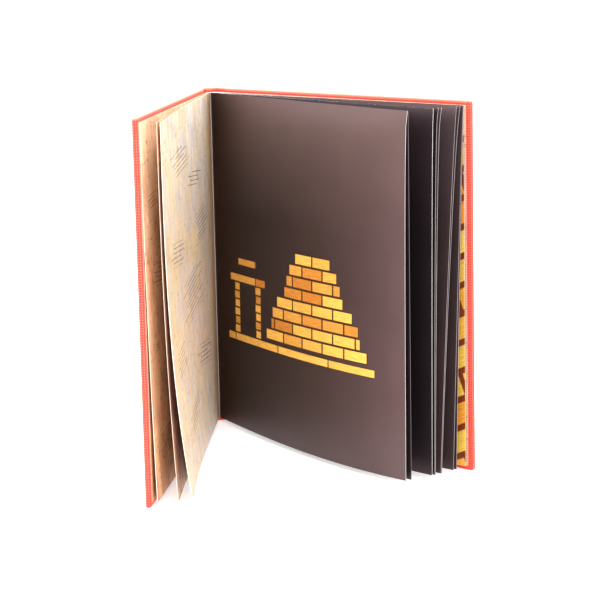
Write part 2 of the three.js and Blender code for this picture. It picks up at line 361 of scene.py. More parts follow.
# Uncoated paper printed to look like old parchment: pale with warm clouds, upright stains and veils,
# flecked with brown, and browned towards the gutter. It is matt, with a faint tooth.
def make_parchment(name, colours, browning, head_pale, head_browned, sketch):
    """Browning is where it starts, where it is full, and its share. The head's pale tones end
    between the two heights of head_pale, and head_browned is the browning's share at the head."""
    tones = {part: linear(value) for part, value in colours.items()}
    material, tree, surface = new_material(name)
    uv, along, rise = sheet_coordinates(tree)
    turned = add(tree, "ShaderNodeVectorRotate", {"Vector": uv, "Angle": PARCHMENT_SLANT},
                 rotation_type="Z_AXIS")
    noise, amount = {}, {}
    for layer, ((width, height), seed, (start, full), (least, most)) in PARCHMENT_LAYERS.items():
        scale = (1 / (width * MM), 1 / (height * MM), 1)
        stretched = add(tree, "ShaderNodeMapping", {
            "Vector": turned, "Location": (seed, seed, seed), "Scale": scale})
        noise[layer] = add(tree, "ShaderNodeTexNoise", {"Vector": stretched, "Scale": 1.0, "Detail": 4.0})
        amount[layer] = add(tree, "ShaderNodeMapRange", {
            "Value": noise[layer], "From Min": start, "From Max": full, "To Min": least, "To Max": most})
    near = add(tree, "ShaderNodeMapRange", {
        "Value": along, "From Min": browning[0], "From Max": browning[1], "To Max": browning[2]})
    below_head = add(tree, "ShaderNodeMapRange", {
        "Value": rise, "From Min": BROWNED_BELOW[0], "From Max": BROWNED_BELOW[1], "To Min": head_browned})
    amount["gutter"] = add(tree, "ShaderNodeMath", {0: near, 1: below_head}, operation="MULTIPLY")
    colour = mixed(tree, amount["warm"], tones["pale"], tones["warm"])
    for part, top, foot in (("middle", head_pale[1], head_pale[0]), ("tail", head_pale[0], 0.0)):
        amount[part] = add(tree, "ShaderNodeMapRange", {
            "Value": rise, "From Min": top, "From Max": foot, "To Max": HEIGHT_SHARE})
    for part in ("middle", "tail", "stain", "veil", "fleck", "gutter"):
        colour = mixed(tree, amount[part], colour, tones[part])
    outer = add(tree, "ShaderNodeMapRange", {
        "Value": along, "From Min": SHADED_OUTWARD[0], "From Max": SHADED_OUTWARD[1]})
    colour = mixed(tree, outer, colour, tones["outer shade"], "MULTIPLY")
    colour = mixed(tree, 1.0, colour, amount["streak"].outputs[0], "MULTIPLY")
    ink = None
    for seed, (place, angle, length, rows, pitch) in enumerate(sketch):
        patch = strokes(tree, uv, [value * MM for value in place], math.radians(angle), length * MM,
                        rows, pitch * MM, 17.0 * seed)
        ink = patch if ink is None else add(tree, "ShaderNodeMath", {0: ink, 1: patch}, operation="MAXIMUM")
    if ink is not None:
        faded = add(tree, "ShaderNodeMapRange", {
            "Value": noise["veil"], "From Min": 0.35, "From Max": 0.6, "To Min": 0.5, "To Max": 0.95})
        inked = add(tree, "ShaderNodeMath", {0: ink, 1: faded}, operation="MULTIPLY")
        colour = mixed(tree, inked, colour, linear(PEN_INK))
    fibres = add(tree, "ShaderNodeTexNoise", {"Vector": uv, "Scale": 1 / PAPER_FIBRE, "Detail": 2.0})
    relief = add(tree, "ShaderNodeBump", {"Height": fibres, "Strength": 0.15, "Distance": PAPER_RELIEF})
    tree.links.new(colour, surface.inputs["Base Color"])
    tree.links.new(relief.outputs["Normal"], surface.inputs["Normal"])
    surface.inputs["Roughness"].default_value = 0.6
    surface.inputs["Specular IOR Level"].default_value = 0.3
    return material


def inside(tree, along, rise, box):
    """1 inside a box of the page, given in millimetres as left, right, low, high."""
    left, right, low, high = [value * MM for value in box]
    within = [
        add(tree, "ShaderNodeMath", {0: distance, 1: (start + end) / 2, 2: (end - start) / 2},
            operation="COMPARE")
        for distance, start, end in ((along, left, right), (rise, low, high))
    ]
    return add(tree, "ShaderNodeMath", {0: within[0], 1: within[1]}, operation="MULTIPLY")


GRAIN_STRETCH = (0.8, 9.0, 1.0)  # the grain runs along a plank


def planks(tree, uv, place, angle, length, height, joint_width, colours):
    """Courses of pine planks, laid half over each other, with dark joints. Millimetres and degrees."""
    light, deep, joint = [linear(value) for value in colours]
    corner = (*[value * MM for value in place], 0)
    shifted = add(tree, "ShaderNodeVectorMath", {0: uv, 1: corner}, operation="SUBTRACT")
    turned = add(tree, "ShaderNodeVectorRotate", {"Vector": shifted, "Angle": math.radians(-angle)},
                 rotation_type="Z_AXIS")
    in_centimetres = add(tree, "ShaderNodeVectorMath", {0: turned, "Scale": 100.0}, operation="SCALE")
    courses = add(tree, "ShaderNodeTexBrick", {
        "Vector": in_centimetres, "Color1": light, "Color2": deep, "Mortar": joint, "Scale": 1.0,
        "Mortar Size": joint_width / 10, "Mortar Smooth": 0.3,
        "Brick Width": length / 10, "Row Height": height / 10})
    stretched = add(tree, "ShaderNodeVectorMath", {0: in_centimetres, 1: GRAIN_STRETCH}, operation="MULTIPLY")
    grain = add(tree, "ShaderNodeTexNoise", {"Vector": stretched, "Scale": 1.5, "Detail": 4.0})
    shade = add(tree, "ShaderNodeMapRange", {
        "Value": grain, "From Min": 0.3, "From Max": 0.7, "To Min": 0.7, "To Max": 1.15})
    return mixed(tree, 1.0, courses.outputs["Color"], shade.outputs[0], "MULTIPLY")


# A generic picture of planks: a wall whose courses step in, and a gate on a long beam. Millimetres.
PINE = ("#ffc458", "#cc7a26", "#2e170b")  # light plank, deep plank, joint
COURSE_HEIGHT = 8
GABLE_MIDDLE = 132
GABLE_FOOT = 70
GABLE_COURSES = 8
GABLE_HALF_WIDTH = 55
GABLE_STEP = 5.5
GABLE_RAGGED = 5
BEAM_FOOT = 62
GATE = [(30, 37, 68, 104), (60, 67, 68, 104), (24, 73, 104, 110), (36, 61, 116, 121), (20, 196, 62, 68)]


def gable(tree, along, rise):
    """The outline of a wall of planks whose courses step in: 1 inside."""
    above = add(tree, "ShaderNodeMath", {0: rise, 1: GABLE_FOOT * MM}, operation="SUBTRACT")
    course = add(tree, "ShaderNodeMath", {0: above, 1: COURSE_HEIGHT * MM}, operation="DIVIDE")
    whole = add(tree, "ShaderNodeMath", {0: course}, operation="FLOOR")
    ragged = add(tree, "ShaderNodeTexWhiteNoise", {"W": whole}, noise_dimensions="1D")
    jitter = add(tree, "ShaderNodeMath", {0: ragged, 1: GABLE_RAGGED * MM}, operation="MULTIPLY")
    half = add(tree, "ShaderNodeMath", {0: whole, 1: -GABLE_STEP * MM, 2: GABLE_HALF_WIDTH * MM},
               operation="MULTIPLY_ADD")
    reach = add(tree, "ShaderNodeMath", {0: half, 1: jitter})
    across = add(tree, "ShaderNodeMath", {0: along, 1: GABLE_MIDDLE * MM, 2: reach}, operation="COMPARE")
    upward = add(tree, "ShaderNodeMath", {0: course, 1: GABLE_COURSES / 2, 2: GABLE_COURSES / 2},
                 operation="COMPARE")
    return add(tree, "ShaderNodeMath", {0: across, 1: upward}, operation="MULTIPLY")


# The colour of a black page is painted lighter outwards, and up over its head part clear of the
# gutter: painted light where the light reaches past the facing leaves, painted shade in the gutter.
OUTWARD = (10 * MM, LEAF_LENGTH)
OUTWARD_POWER = 2.1
UPWARD = (150 * MM, 238 * MM)
CLEAR_OF_GUTTER = (6 * MM, 50 * MM)
MOTTLE_SIZE = 30 * MM
CARD_GRAIN = 1.5 * MM
CARD_RELIEF = 0.02 * MM


# Coated card printed solid warm black: little colour of its own, and a wide soft sheen. One page
# shows a wall and a gate of planks.
def make_dark_page(name, black_in_painted_light, pictured):
    """The three colours are the black with painted light: painted shade at the gutter, painted light at the
    fore-edge and at the head.
    """
    at_gutter, at_edge, at_head = [linear(value) for value in black_in_painted_light]
    material, tree, surface = new_material(name)
    uv, along, rise = sheet_coordinates(tree)
    outward, upward, clear = [
        add(tree, "ShaderNodeMapRange", {"Value": distance, "From Min": start, "From Max": end})
        for distance, (start, end) in ((along, OUTWARD), (rise, UPWARD), (along, CLEAR_OF_GUTTER))
    ]
    curved = add(tree, "ShaderNodeMath", {0: outward, 1: OUTWARD_POWER}, operation="POWER")
    # Painted shade and light: dark at the gutter, lighter towards the fore-edge, lighter again up over the
    # head.
    ink = mixed(tree, curved, at_gutter, at_edge)
    headed = add(tree, "ShaderNodeMath", {0: upward, 1: clear}, operation="MULTIPLY")
    ink = mixed(tree, headed, ink, at_head)
    mottle = add(tree, "ShaderNodeTexNoise", {"Vector": uv, "Scale": 1 / MOTTLE_SIZE, "Detail": 3.0})
    cloudy = add(tree, "ShaderNodeMapRange", {"Value": mottle, "To Min": 0.8, "To Max": 1.2})
    colour = mixed(tree, 1.0, ink, cloudy.outputs[0], "MULTIPLY")
    if pictured:
        wall = gable(tree, along, rise)
        courses = planks(tree, uv, (GABLE_MIDDLE, GABLE_FOOT), angle=0, length=23, height=COURSE_HEIGHT,
                         joint_width=0.9, colours=PINE)
        colour = mixed(tree, wall, colour, courses)
        beams = planks(tree, uv, (0, BEAM_FOOT), angle=0, length=60, height=6, joint_width=0.7, colours=PINE)
        for box in GATE:
            colour = mixed(tree, inside(tree, along, rise, box), colour, beams)
    grain = add(tree, "ShaderNodeTexNoise", {"Vector": uv, "Scale": 1 / CARD_GRAIN, "Detail": 2.0})
    relief = add(tree, "ShaderNodeBump", {"Height": grain, "Strength": 0.05, "Distance": CARD_RELIEF})
    tree.links.new(colour, surface.inputs["Base Color"])
    tree.links.new(relief.outputs["Normal"], surface.inputs["Normal"])
    surface.inputs["Roughness"].default_value = 0.42
    surface.inputs["Specular IOR Level"].default_value = 0.6
    surface.inputs["Specular Tint"].default_value = linear("#ffd6d6")
    return material


COLLAGE = ("#ffd458", "#ff9a34", "#84381a")


# Coated paper with planks printed over all of it, slanting, much larger than on the picture page. It
# has a soft shine.
def make_plank_collage():
    material, tree, surface = new_material("coated endpaper printed with planks")
    uv = sheet_coordinates(tree)[0]
    colour = planks(tree, uv, (40, 20), angle=24, length=36, height=17, joint_width=2.4, colours=COLLAGE)
    tree.links.new(colour, surface.inputs["Base Color"])
    surface.inputs["Roughness"].default_value = 0.45
    return material


SOIL_SIZE = 9 * MM
HEAD_CUT = (LEAF_HEAD - 0.3 * MM, LEAF_HEAD - 0.1 * MM)  # above this a cut edge is the head's


# The cut edge of a sheet shows its core: matt, a neutral grey or cream, soiled in places at the
# fore-edge, and clean at the head.
def make_page_edge(name, colours):
    """The colours are the clean one, the worn one and the head's."""
    clean, wear_and_head_light, at_head = [linear(value) for value in colours]
    material, tree, surface = new_material(name)
    place = add(tree, "ShaderNodeTexCoord")
    soil = add(tree, "ShaderNodeTexNoise", {
        "Vector": place.outputs["Object"], "Scale": 1 / SOIL_SIZE, "Detail": 2.0})
    soiled = mixed(tree, soil, clean, wear_and_head_light)
    height = add(tree, "ShaderNodeSeparateXYZ", {"Vector": place.outputs["Object"]})
    top = add(tree, "ShaderNodeMapRange", {
        "Value": height.outputs["Z"], "From Min": HEAD_CUT[0], "From Max": HEAD_CUT[1]})
    colour = mixed(tree, top, soiled, at_head)
    tree.links.new(colour, surface.inputs["Base Color"])
    surface.inputs["Roughness"].default_value = 0.8
    return material


# Tones of the parchment prints. The left faces are pale, because they throw the light that reaches
# the sheets behind them. The sketched page is cream to grey, the face behind it is painted brown in
# its middle as shade and paler at its head and tail where light reaches, and the endpapers are tan.
PALE_PARCHMENT = {
    "pale": "#fff8ec", "warm": "#fdf0dc", "middle": "#f6e8d4", "tail": "#f4e6d4",
    "stain": "#f0e4b8", "veil": "#e2dee4", "fleck": "#b09070", "gutter": "#d8b080",
    "outer shade": "#ffffff",
}
LEAF_PARCHMENT = {
    "pale": "#f2e6d4", "warm": "#e8d6b8", "middle": "#cab094", "tail": "#e6d2bc",
    "stain": "#e0c69a", "veil": "#c6c0ca", "fleck": "#93744e", "gutter": "#c29260",
    "outer shade": "#ebe7dc",
}
# Painted shade and light: dark brown in the middle as the shade of the narrow gap behind the sketched page,
# paler at the head and the tail where the light reaches.
SHADE_PAINTED_PARCHMENT = {
    "pale": "#f0bd98", "warm": "#de9e72", "middle": "#703a2c", "tail": "#e6cebe",
    "stain": "#be8060", "veil": "#967064", "fleck": "#54382e", "gutter": "#643e32",
    "outer shade": "#ffffff",
}
TAN_PARCHMENT = {
    "pale": "#fbe2c4", "warm": "#fddab4", "middle": "#ffd6b0", "tail": "#bc8e6c",
    "stain": "#fccc9c", "veil": "#dca07c", "fleck": "#6a4030", "gutter": "#744634",
    "outer shade": "#f6f0ee",
}
NEAR_GUTTER = (30 * MM, 4 * MM, 1.0)  # browning: start, full and share
UPPER_PALE = (145 * MM, 234 * MM)  # the head's pale tones end between these heights
cover_cloth = make_cover_cloth()
parchment = make_parchment("parchment-printed page", PALE_PARCHMENT, NEAR_GUTTER, UPPER_PALE, 1.0, [])
shade_painted_parchment = make_parchment("parchment-printed page painted brown as shade", SHADE_PAINTED_PARCHMENT,
                                 (60 * MM, 4 * MM, 1.0), (60 * MM, 225 * MM), 1.0, [])
sketched_parchment = make_parchment("parchment-printed page with pen strokes", LEAF_PARCHMENT,
                                    NEAR_GUTTER, UPPER_PALE, 1.0, LEAF_SKETCH)
beige_parchment = make_parchment("beige parchment-printed endpaper", LEAF_PARCHMENT,
                                 NEAR_GUTTER, UPPER_PALE, 1.0, [])
tan_parchment = make_parchment("tan parchment-printed endpaper", TAN_PARCHMENT,
                               (215 * MM, 150 * MM, 0.42), (160 * MM, 228 * MM), 0.0, ENDPAPER_SKETCH)
# Each black page's three colours hold painted light: painted shade at the gutter, painted light at the
# fore-edge and the head.
dark_page = make_dark_page("warm black coated page", ("#181213", "#382c2d", "#44383a"), False)
# Painted shade: a darker, bluer copy of the black page for the leaves that stand in the shade deep in the
# fan.
shade_darkened_page = make_dark_page("bluish black coated page, painted darker as shade", ("#100c0e", "#1a1418", "#261d22"), False)
picture_page = make_dark_page("warm black coated page with a printed picture",
                              ("#0f0d10", "#443537", "#4c3b39"), True)
plank_collage = make_plank_collage()
page_edge = make_page_edge("cut edge of black page", ("#a69b99", "#80777a", "#ffffff"))
# Lit and shaded copies of the cut edge: painted light as a highlight on the edges that catch the light,
# painted dark as shade on the edge in the shadow of the first leaf.
lit_page_edge = make_page_edge("cut edge of black page, painted light as a highlight", ("#d6d2d2", "#bcb6b8", "#ffffff"))
shade_painted_page_edge = make_page_edge("cut edge of black page, painted dark as shade", ("#6c6262", "#544c4e", "#80787a"))
parchment_edge = make_page_edge("cut edge of parchment-printed page", ("#fff6ea", "#f6e8d6", "#e2d0b6"))
tan_edge = make_page_edge("tan cut edge", ("#e2d0c2", "#c8b0a0", "#f0dcc4"))


def shade_softly(mesh):
    """Smooth shading with crisp edges where faces meet at 50 degrees or more."""
    mesh.shade_smooth()
    mesh.set_sharp_from_angle(angle=math.radians(50))


def finish_piece(name, bm, material):
    """Makes a piece of a mesh whose place is already in its vertices."""
    mesh = bpy.data.meshes.new(name)
    bm.to_mesh(mesh)
    bm.free()
    mesh.materials.append(material)
    shade_softly(mesh)
    piece = bpy.data.objects.new(name, mesh)
    scene.collection.objects.link(piece)
    return piece


# The covers are modelled in their own frame, as the back cover: hinge line at the origin,
# fore-edge to -Y and inner face to -X. The front cover is its mirror.
def in_place(bm, side):
    """Moves a piece of a cover to its place in the booklet and turns its faces outwards."""
    turn = Matrix.Rotation(HALF_OPENING, 4, "Z")
    bm.transform(Matrix.Translation((HINGE_X, 0, 0)) @ turn)
    bm.transform(Matrix.Diagonal((side, 1, 1, 1)))
    bm.transform(Matrix.Translation((0, HINGE_Y, 0)))
    bmesh.ops.recalc_face_normals(bm, faces=bm.faces)


def map_flat(bm):
    """A UV map in metres, each face seen along the axis it faces most, so that the weave runs square."""
    layer = bm.loops.layers.uv.new("UVMap")
    for face in bm.faces:
        face.normal_update()
        size = [abs(value) for value in face.normal]
        for loop in face.loops:
            x, y, z = loop.vert.co
            if size[0] >= max(size[1], size[2]):
                loop[layer].uv = (y, z)
            elif size[1] >= size[2]:
                loop[layer].uv = (x, z)
            else:
                loop[layer].uv = (x, y)


LEAST_FLAT = 0.1 * MM  # a corner's radius less its edge's round, so that no ring shrinks to a point


def rounded_outline(near, far, foot, head, radii, inset):
    """A rectangle with rounded corners, moved in by inset. The radii go round from the near foot."""
    corners = [(near, foot, 1, 1), (far, foot, -1, 1), (far, head, -1, -1), (near, head, 1, -1)]
    starts = [math.pi, 1.5 * math.pi, 0, 0.5 * math.pi]
    steps = 6
    points = []
    for (a, b, inward_a, inward_b), radius, start in zip(corners, radii, starts):
        centre = (a + inward_a * radius, b + inward_b * radius)
        for i in range(steps + 1):
            angle = start + 0.5 * math.pi * i / steps
            reach = radius - inset
            points.append((centre[0] + reach * math.cos(angle), centre[1] + reach * math.sin(angle)))
    return points


def slab(near, far, foot, head, inner, outer, radii, edge_round):
    """A board lying along -Y and +Z between x = -inner and x = outer, with all its edges rounded."""
    steps = 4
    quarter = [0.5 * math.pi * i / steps for i in range(steps + 1)]
    profile = [(edge_round * (1 - math.sin(a)), -inner + edge_round * (1 - math.cos(a))) for a in quarter]
    profile += [(edge_round * (1 - math.cos(a)), outer - edge_round * (1 - math.sin(a))) for a in quarter]
    bm = bmesh.new()
    rings = []
    for inset, x in profile:
        ring = rounded_outline(near, far, foot, head, radii, inset)
        rings.append([bm.verts.new((x, -a, b)) for a, b in ring])
    count = len(rings[0])
    for lower, upper in zip(rings, rings[1:]):
        for i in range(count):
            j = (i + 1) % count
            bm.faces.new((lower[i], lower[j], upper[j], upper[i]))
    bm.faces.new(rings[0])
    bm.faces.new(rings[-1])
    bmesh.ops.recalc_face_normals(bm, faces=bm.faces)
    return bm


def make_board(name, side):
    """A board in its cloth, with rounded corners at the fore-edge."""
    at_joint = BOARD_EDGE_ROUND + LEAST_FLAT
    radii = (at_joint, BOARD_CORNER_RADIUS, BOARD_CORNER_RADIUS, at_joint)
    bm = slab(JOINT_WIDTH, COVER_REACH, 0, COVER_HEIGHT, BOARD_INNER, BOARD_OUTER, radii, BOARD_EDGE_ROUND)
    map_flat(bm)
    in_place(bm, side)
    return finish_piece(name, bm, cover_cloth)


def make_turn_ins(name, side):
    """Cloth folded over the head, tail and fore-edge of a board, with its corners mitred."""
    top = COVER_HEIGHT
    edge = BOARD_EDGE_ROUND
    width = TURN_IN_WIDTH
    gap = MITRE_GAP
    far = COVER_REACH - edge
    near = JOINT_WIDTH + edge
    mitre = far - width + edge
    strips = [
        [(near, edge), (far - gap, edge), (mitre - gap, width), (near, width)],
        [(near, top - edge), (far - gap, top - edge), (mitre - gap, top - width), (near, top - width)],
        [(far, edge + gap), (far, top - edge - gap), (mitre, top - width - gap), (mitre, width + gap)],
    ]
    bm = bmesh.new()
    for strip in strips:
        low = [bm.verts.new((-BOARD_INNER + TURN_IN_SUNK, -a, b)) for a, b in strip]
        high = [bm.verts.new((-BOARD_INNER - TURN_IN_THICKNESS, -a, b)) for a, b in strip]
        bm.faces.new(low)
        bm.faces.new(high)
        for i in range(len(strip)):
            j = (i + 1) % len(strip)
            bm.faces.new((low[i], low[j], high[j], high[i]))
    bmesh.ops.recalc_face_normals(bm, faces=bm.faces)
    map_flat(bm)
    in_place(bm, side)
    return finish_piece(name, bm, cover_cloth)


def ribbon(path, foot, head, thickness, rows=8):
    """A strip of sheet standing on edge along a path seen from above. Its UV is metres along and up."""
    count = len(path)
    bm = bmesh.new()
    layer = bm.loops.layers.uv.new("UVMap")
    travelled = [0.0]
    for before, after in zip(path, path[1:]):
        travelled.append(travelled[-1] + (after - before).length)
    columns = []
    for i, point in enumerate(path):
        along = (path[min(i + 1, count - 1)] - path[max(i - 1, 0)]).normalized()
        out = Vector((-along.y, along.x)) * thickness / 2
        heights = [foot + (head - foot) * row / rows for row in range(rows + 1)]
        columns.append([
            [bm.verts.new((*(point + sign * out), height)) for height in heights] for sign in (1, -1)])
    distance = {vert: travelled[i] for i, column in enumerate(columns) for face in column for vert in face}
    for left, right in zip(columns, columns[1:]):
        for k in (0, 1):
            for row in range(rows):
                bm.faces.new((left[k][row], right[k][row], right[k][row + 1], left[k][row + 1]))
        for row in (0, rows):
            bm.faces.new((left[0][row], right[0][row], right[1][row], left[1][row]))
    for column in (columns[0], columns[-1]):
        for row in range(rows):
            bm.faces.new((column[0][row], column[0][row + 1], column[1][row + 1], column[1][row]))
    for face in bm.faces:
        for loop in face.loops:
            loop[layer].uv = (distance[loop.vert], loop.vert.co.z - foot)
    bmesh.ops.recalc_face_normals(bm, faces=bm.faces)
    return bm


# The middle of the joint's cloth, in millimetres from the hinge line: first as the booklet stands,
# then in the cover's frame.
JOINT_FROM_SPINE = [(-1.6, 0.75), (-0.9, 0.72), (-0.3, 0.35)]
JOINT_ONTO_BOARD = [
    (0.0, -1.2), (0.0, -3.0), (0.0, -5.0), (0.05, -6.6), (0.35, -7.8), (0.72, -8.6), (0.78, -9.6),
]
JOINT_SET_BACK = 0.3 * MM  # at the head and the tail


def make_joint_cloth(name, side):
    """The bare cloth of a joint: out of the spine, down into the groove and up onto the board."""
    turn = Matrix.Rotation(-HALF_OPENING, 2)
    path = [turn @ Vector(point) * MM for point in JOINT_FROM_SPINE]
    path += [Vector(point) * MM for point in JOINT_ONTO_BOARD]
    bm = ribbon(path, JOINT_SET_BACK, COVER_HEIGHT - JOINT_SET_BACK, CLOTH_THICKNESS)
    in_place(bm, side)
    return finish_piece(name, bm, cover_cloth)


def make_spine():
    """The stiff strip between the two joints, in its cloth."""
    half_width = HINGE_X - SPINE_BACK_FROM_HINGE
    bm = slab(-half_width, half_width, 0, COVER_HEIGHT, -SPINE_INNER, BOARD_OUTER,
              (SPINE_CORNER_RADIUS,) * 4, SPINE_EDGE_ROUND)
    bm.transform(Matrix.Rotation(math.pi / 2, 4, "Z"))
    map_flat(bm)
    bm.transform(Matrix.Translation((0, HINGE_Y, 0)))
    return finish_piece("spine_strip", bm, cover_cloth)


def make_glued_block():
    """The backs of the leaves, glued into one strip. Its front shows white between two open leaves."""
    bm = slab(-HALF_BLOCK, HALF_BLOCK, LEAF_FOOT, LEAF_HEAD, BLOCK_DEPTH - BLOCK_BACK, BLOCK_BACK,
              (BLOCK_CORNER_RADIUS,) * 4, BLOCK_EDGE_ROUND)
    bm.transform(Matrix.Rotation(math.pi / 2, 4, "Z"))
    map_flat(bm)
    bm.transform(Matrix.Translation((0, HINGE_Y, 0)))
    return finish_piece("glued_block", bm, page_edge)


# One tree makes every leaf. Seen from above, a leaf sets out from its root and bends more and more
# towards its fore-edge, at the tail by one rule and at the head by another, and the sheet is drawn
# straight between the two. Headings are 0 along -Y and positive to +X.
LEAF_INPUTS = {
    "Root": "NodeSocketVector",
    "Length": "NodeSocketFloat",
    "Thickness": "NodeSocketFloat",
    "Height": "NodeSocketFloat",
    "Columns": "NodeSocketInt",
    "Rows": "NodeSocketInt",
    "Tail heading": "NodeSocketFloat",
    "Tail bend": "NodeSocketFloat",
    "Head heading": "NodeSocketFloat",
    "Head bend": "NodeSocketFloat",
    "Twist": "NodeSocketFloat",
    "From": "NodeSocketFloat",
    "To": "NodeSocketFloat",
    "Seam": "NodeSocketFloat",
    "Left face": "NodeSocketMaterial",
    "Right face": "NodeSocketMaterial",
    "Edge": "NodeSocketMaterial",
}


SEAM_TOLERANCE = 0.1 * MM


def make_leaf_tree():
    tree = bpy.data.node_groups.new("bound leaf", "GeometryNodeTree")
    for name, kind in LEAF_INPUTS.items():
        tree.interface.new_socket(name, in_out="INPUT", socket_type=kind)
    tree.interface.new_socket("Leaf", in_out="OUTPUT", socket_type="NodeSocketGeometry")
    size = add(tree, "NodeGroupInput").outputs

    # A flat grid, one unit square, with its place along the leaf and up the leaf.
    columns = add(tree, "ShaderNodeMath", {0: size["Columns"], 1: 1.0}, operation="ADD")
    rows = add(tree, "ShaderNodeMath", {0: size["Rows"], 1: 1.0}, operation="ADD")
    grid = add(tree, "GeometryNodeMeshGrid", {"Vertices X": columns, "Vertices Y": rows})
    place = add(tree, "ShaderNodeVectorMath", {0: add(tree, "GeometryNodeInputPosition"), 1: (0.5, 0.5, 0)})
    part = add(tree, "ShaderNodeSeparateXYZ", {"Vector": place})
    along, rise = part.outputs["X"], part.outputs["Y"]
    metres = add(tree, "ShaderNodeCombineXYZ", {"X": size["Length"], "Y": size["Height"]})
    uv = add(tree, "ShaderNodeVectorMath", {0: place, 1: metres}, operation="MULTIPLY")
    mapped = add(tree, "GeometryNodeStoreNamedAttribute", {"Geometry": grid, "Name": "UVMap", "Value": uv},
                 data_type="FLOAT2", domain="CORNER")

    # The step from each column to the next, half a step on.
    step_share = add(tree, "ShaderNodeMath", {0: 1.0, 1: size["Columns"]}, operation="DIVIDE")
    middle = add(tree, "ShaderNodeMath", {0: step_share, 1: 0.5, 2: along}, operation="MULTIPLY_ADD")
    squared = add(tree, "ShaderNodeMath", {0: middle, 1: middle}, operation="MULTIPLY")
    curve = add(tree, "ShaderNodeMath", {0: squared, 1: 1 / 3}, operation="SUBTRACT")
    step_length = add(tree, "ShaderNodeMath", {0: step_share, 1: size["Length"]}, operation="MULTIPLY")
    steps = []
    for end in ("Tail", "Head"):
        heading = add(tree, "ShaderNodeMath", {
            0: size[end + " bend"], 1: curve, 2: size[end + " heading"]}, operation="MULTIPLY_ADD")
        across = add(tree, "ShaderNodeMath", {0: heading}, operation="SINE")
        forward = add(tree, "ShaderNodeMath", {0: heading}, operation="COSINE")
        backward = add(tree, "ShaderNodeMath", {0: forward, 1: -1.0}, operation="MULTIPLY")
        direction = add(tree, "ShaderNodeCombineXYZ", {"X": across, "Y": backward})
        steps.append(add(tree, "ShaderNodeVectorMath", {0: direction, "Scale": step_length},
                         operation="SCALE"))
    below = add(tree, "ShaderNodeMath", {0: 1.0, 1: rise}, operation="SUBTRACT")
    tail_share = add(tree, "ShaderNodeMath", {0: below, 1: size["Twist"]}, operation="POWER")
    step = add(tree, "ShaderNodeMix", {
        MIX_FACTOR: tail_share, MIX_VECTOR_A: steps[1], MIX_VECTOR_B: steps[0]}, data_type="VECTOR")

    # The steps are summed along each row, and the row is lifted to its height.
    index = add(tree, "GeometryNodeInputIndex")
    row = add(tree, "FunctionNodeIntegerMath", {0: index, 1: rows}, operation="MODULO")
    walked = add(tree, "GeometryNodeAccumulateField", {"Value": step.outputs[MIX_VECTOR], "Group ID": row},
                 data_type="FLOAT_VECTOR", domain="POINT")
    height = add(tree, "ShaderNodeMath", {0: rise, 1: size["Height"]}, operation="MULTIPLY")
    lift = add(tree, "ShaderNodeCombineXYZ", {"Z": height})
    from_root = add(tree, "ShaderNodeVectorMath", {0: walked.outputs["Trailing"], 1: lift})
    at = add(tree, "ShaderNodeVectorMath", {0: from_root, 1: size["Root"]})
    bent = add(tree, "GeometryNodeSetPosition", {"Geometry": mapped, "Position": at})

    # Only the stretch from one distance to the other is kept.
    read = add(tree, "GeometryNodeInputNamedAttribute", {"Name": "UVMap"}, data_type="FLOAT_VECTOR")
    reach = add(tree, "ShaderNodeSeparateXYZ", {"Vector": read})
    before = add(tree, "ShaderNodeMath", {0: reach, 1: size["From"]}, operation="LESS_THAN")
    after = add(tree, "ShaderNodeMath", {0: reach, 1: size["To"]}, operation="GREATER_THAN")
    outside = add(tree, "ShaderNodeMath", {0: before, 1: after}, operation="MAXIMUM")
    kept = add(tree, "GeometryNodeDeleteGeometry", {"Geometry": bent, "Selection": outside}, domain="FACE")

    # Thickness: half to each side, closed all round. The faces where two pieces meet are no cut edge.
    normal = add(tree, "GeometryNodeInputNormal")
    half = add(tree, "ShaderNodeMath", {0: size["Thickness"], 1: -0.5}, operation="MULTIPLY")
    offset = add(tree, "ShaderNodeVectorMath", {0: normal, "Scale": half}, operation="SCALE")
    right = add(tree, "GeometryNodeSetPosition", {"Geometry": kept, "Offset": offset})
    raised = add(tree, "GeometryNodeExtrudeMesh",
                 {"Mesh": right, "Offset Scale": size["Thickness"], "Individual": False}, mode="FACES")
    flipped = add(tree, "GeometryNodeFlipFaces", {"Mesh": right})
    painted = add(tree, "GeometryNodeSetMaterial", {"Geometry": flipped, "Material": size["Right face"]})
    left = add(tree, "GeometryNodeSetMaterial", {"Geometry": raised, "Material": size["Left face"]})
    at_seam = add(tree, "ShaderNodeMath", {0: reach, 1: size["Seam"], 2: SEAM_TOLERANCE}, operation="COMPARE")
    cut = add(tree, "ShaderNodeMath", {0: raised.outputs["Side"], 1: at_seam}, operation="SUBTRACT")
    edged = add(tree, "GeometryNodeSetMaterial", {
        "Geometry": left, "Selection": cut, "Material": size["Edge"]})
    both = add(tree, "GeometryNodeJoinGeometry")
    tree.links.new(edged.outputs[0], both.inputs[0])
    tree.links.new(painted.outputs[0], both.inputs[0])
    tolerance = add(tree, "ShaderNodeMath", {0: size["Thickness"], 1: 0.01}, operation="MULTIPLY")
    closed = add(tree, "GeometryNodeMergeByDistance", {"Geometry": both, "Distance": tolerance})
    real = add(tree, "GeometryNodeRealizeInstances", {"Geometry": closed})
    add(tree, "NodeGroupOutput", {0: real})
    return tree


def made_by(tree, name, sizes):
    """A plain mesh object made by a tree with these inputs."""
    piece = bpy.data.objects.new(name, bpy.data.meshes.new(name))
    scene.collection.objects.link(piece)
    modifier = piece.modifiers.new("shape", "NODES")
    modifier.node_group = tree
    for socket in tree.interface.items_tree:
        if socket.in_out == "INPUT" and socket.name in sizes:
            modifier[socket.identifier] = sizes[socket.name]
    depsgraph = bpy.context.evaluated_depsgraph_get()
    mesh = bpy.data.meshes.new_from_object(
        piece.evaluated_get(depsgraph), preserve_all_data_layers=True, depsgraph=depsgraph)
    piece.modifiers.clear()
    piece.data = mesh
    shade_softly(mesh)
    return piece


